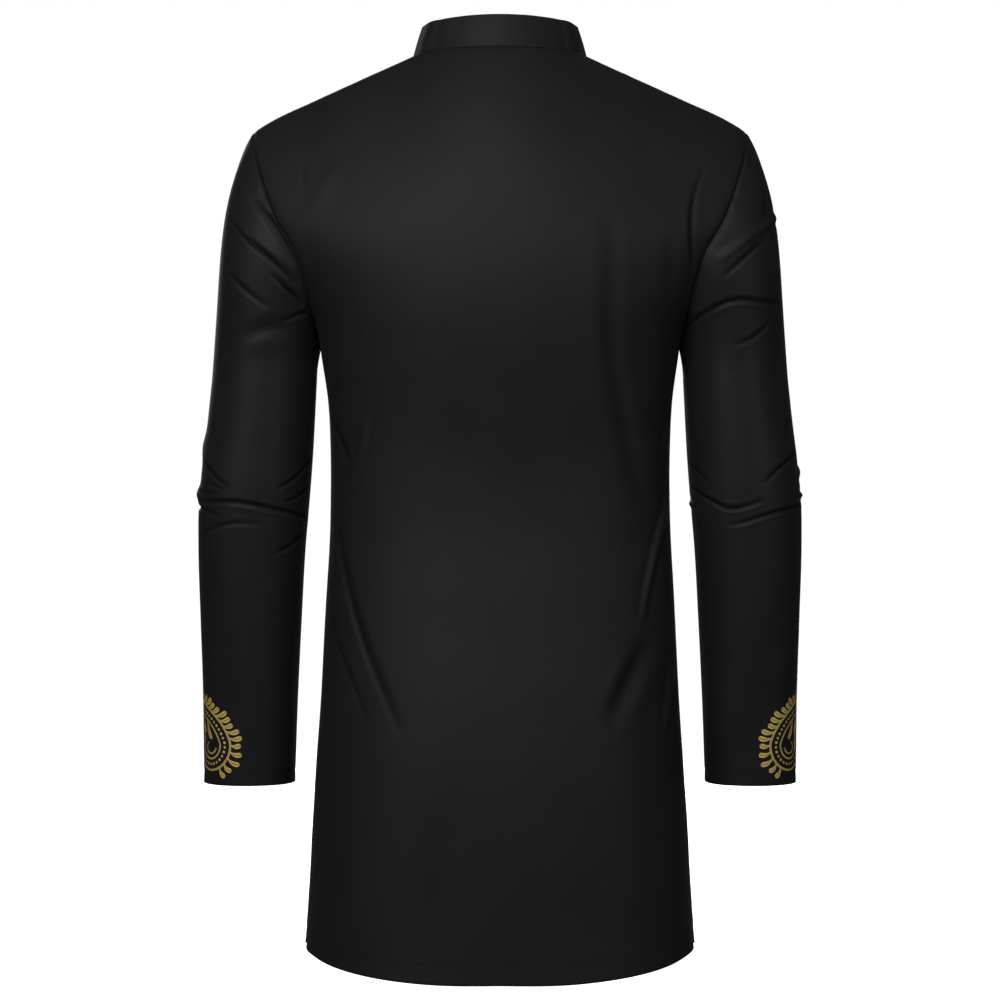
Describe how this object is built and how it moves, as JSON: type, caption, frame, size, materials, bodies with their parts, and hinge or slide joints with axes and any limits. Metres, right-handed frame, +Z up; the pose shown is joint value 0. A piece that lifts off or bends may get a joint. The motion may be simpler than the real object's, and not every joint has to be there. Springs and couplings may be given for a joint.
{
  "type": "long-sleeve tunic shirt",
  "caption": "Hollow, worn-form tunic shirt: stand collar, set-in long sleeves, short buttoned neck opening, side vents and a curved tail hem, open at neck, cuffs and hem.",
  "frame": {"origin": "between the two points where the shoulder seams meet the collar, where the wearer's shoulders hold the shirt", "axes": "+Z up along the wearer's back, +Y towards the wearer's back, +X towards the wearer's left"},
  "size_m": [0.572, 0.2545, 0.891],
  "materials": {
    "body_cloth": "black satin-faced cloth with a soft sheen",
    "sleeve_cloth": "black satin-faced cloth with a gold paisley print at the cuff",
    "button": "black, half gloss"
  },
  "bodies": {
    "root": {"back_panel": "body_cloth", "front_panel": "body_cloth", "sleeve_left": "sleeve_cloth", "sleeve_right": "sleeve_cloth", "collar_stand": "body_cloth", "placket_over": "body_cloth", "placket_under": "body_cloth", "button_1": "button", "button_2": "button", "button_3": "button"}
  },
  "joints": []
}
